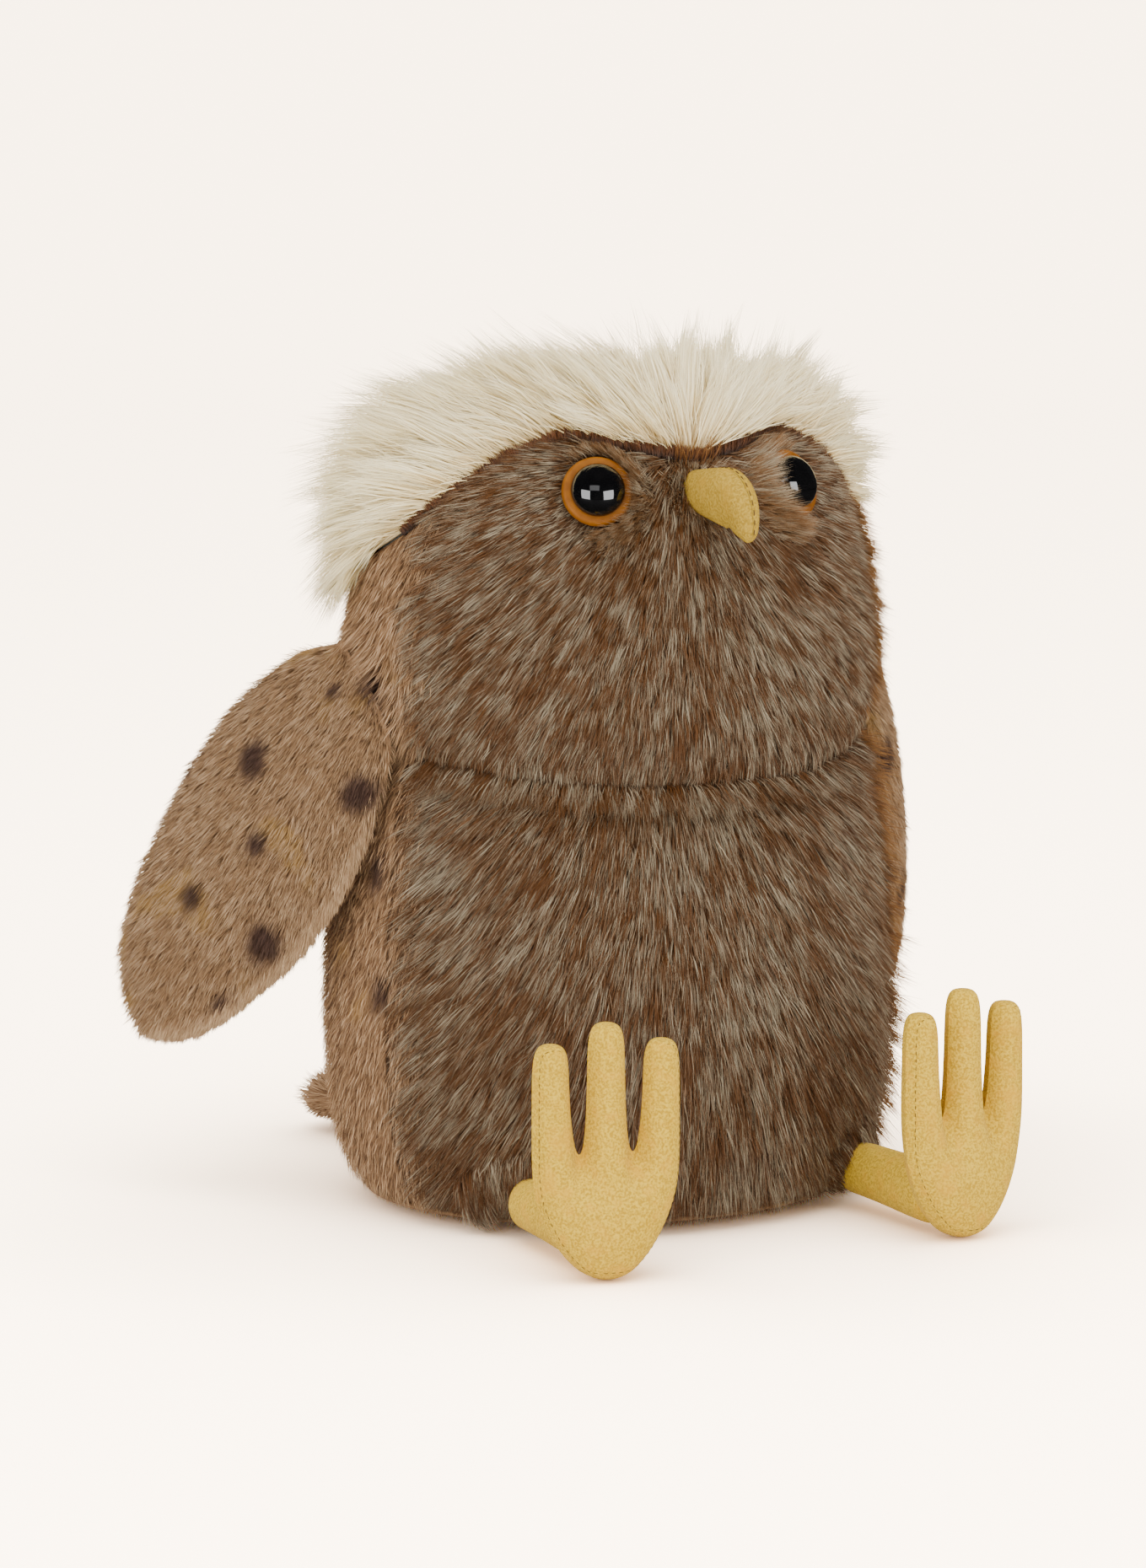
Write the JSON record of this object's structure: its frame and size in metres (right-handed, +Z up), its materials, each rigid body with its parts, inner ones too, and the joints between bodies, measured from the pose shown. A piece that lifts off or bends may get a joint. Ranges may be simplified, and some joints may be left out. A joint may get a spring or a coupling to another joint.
{
  "type": "plush owl",
  "caption": "Sitting plush owl with a frosted brown belly, spotted tan back and wings, long ivory crown, amber safety eyes and yellow suede beak, legs and feet.",
  "frame": {"origin": "centre of the flat base on which the owl sits", "axes": "+Z up; the owl faces -Y; its right side is at -X"},
  "size_m": [0.2356, 0.2192, 0.224],
  "materials": {
    "frosted_brown_plush": "medium pile, brown at the roots and silvery beige at the tips",
    "spotted_tan_plush": "short dense pile, tan with dark brown spots",
    "ivory_long_pile": "long loose pile, ivory",
    "yellow_suede": "fine napped suede cloth",
    "amber_plastic": "satin amber",
    "black_gloss_plastic": "polished black",
    "washer_plastic": "plain white",
    "pellet_bag_cloth": "plain woven lining",
    "white_fibrefill": "loose fibre filling"
  },
  "bodies": {
    "trunk": {"belly_panel": "frosted_brown_plush", "face_panel": "frosted_brown_plush", "body_back_panel": "spotted_tan_plush", "base_panel": "spotted_tan_plush", "head_back_panel": "spotted_tan_plush", "crown_panel": "ivory_long_pile", "beak_right_panel": "yellow_suede", "beak_left_panel": "yellow_suede", "right_iris_ring": "amber_plastic", "left_iris_ring": "amber_plastic", "right_eye_dome": "black_gloss_plastic", "left_eye_dome": "black_gloss_plastic", "right_eye_washer": "washer_plastic", "left_eye_washer": "washer_plastic", "pellet_bag": "pellet_bag_cloth", "body_stuffing": "white_fibrefill", "head_stuffing": "white_fibrefill", "beak_stuffing": "white_fibrefill"},
    "wing_right": {"wing_right_outer_panel": "spotted_tan_plush", "wing_right_inner_panel": "spotted_tan_plush", "wing_right_stuffing": "white_fibrefill"},
    "wing_left": {"wing_left_outer_panel": "spotted_tan_plush", "wing_left_inner_panel": "spotted_tan_plush", "wing_left_stuffing": "white_fibrefill"},
    "leg_right": {"leg_right_sleeve": "yellow_suede", "leg_right_stuffing": "white_fibrefill"},
    "leg_left": {"leg_left_sleeve": "yellow_suede", "leg_left_stuffing": "white_fibrefill"},
    "foot_right": {"foot_right_sole_panel": "yellow_suede", "foot_right_instep_panel": "yellow_suede", "foot_right_stuffing": "white_fibrefill"},
    "foot_left": {"foot_left_sole_panel": "yellow_suede", "foot_left_instep_panel": "yellow_suede", "foot_left_stuffing": "white_fibrefill"},
    "tail": {"tail_upper_panel": "spotted_tan_plush", "tail_lower_panel": "spotted_tan_plush", "tail_stuffing": "white_fibrefill"}
  },
  "joints": [
    {"name": "wing_right_swing", "type": "hinge", "parent": "trunk", "child": "wing_right", "pos_m": [-0.07358, -0.00848, 0.13674], "axis": [-0.1356, 0.4967, 0.8573], "range_deg": [0, 50]},
    {"name": "leg_right_lift", "type": "hinge", "parent": "trunk", "child": "leg_right", "pos_m": [-0.04687, -0.05321, 0.0086], "axis": [-0.9962, 0.0872, 0], "range_deg": [0, 20]},
    {"name": "foot_right_flex", "type": "hinge", "parent": "leg_right", "child": "foot_right", "pos_m": [-0.04997, -0.08857, 0.0094], "axis": [-0.9962, 0.0872, 0], "range_deg": [-15, 10], "stiffness_Nm_per_rad": 0.02},
    {"name": "wing_left_swing", "type": "hinge", "parent": "trunk", "child": "wing_left", "pos_m": [0.07358, -0.00848, 0.13674], "axis": [-0.1356, -0.4967, -0.8573], "range_deg": [0, 50]},
    {"name": "leg_left_lift", "type": "hinge", "parent": "trunk", "child": "leg_left", "pos_m": [0.04687, -0.05321, 0.0086], "axis": [-0.9962, -0.0872, 0], "range_deg": [0, 20]},
    {"name": "foot_left_flex", "type": "hinge", "parent": "leg_left", "child": "foot_left", "pos_m": [0.04997, -0.08857, 0.0094], "axis": [-0.9962, -0.0872, 0], "range_deg": [-15, 10], "stiffness_Nm_per_rad": 0.02},
    {"name": "tail_lift", "type": "hinge", "parent": "trunk", "child": "tail", "pos_m": [0, 0.06318, 0.01065], "axis": [1, 0, 0], "range_deg": [0, 20]}
  ]
}
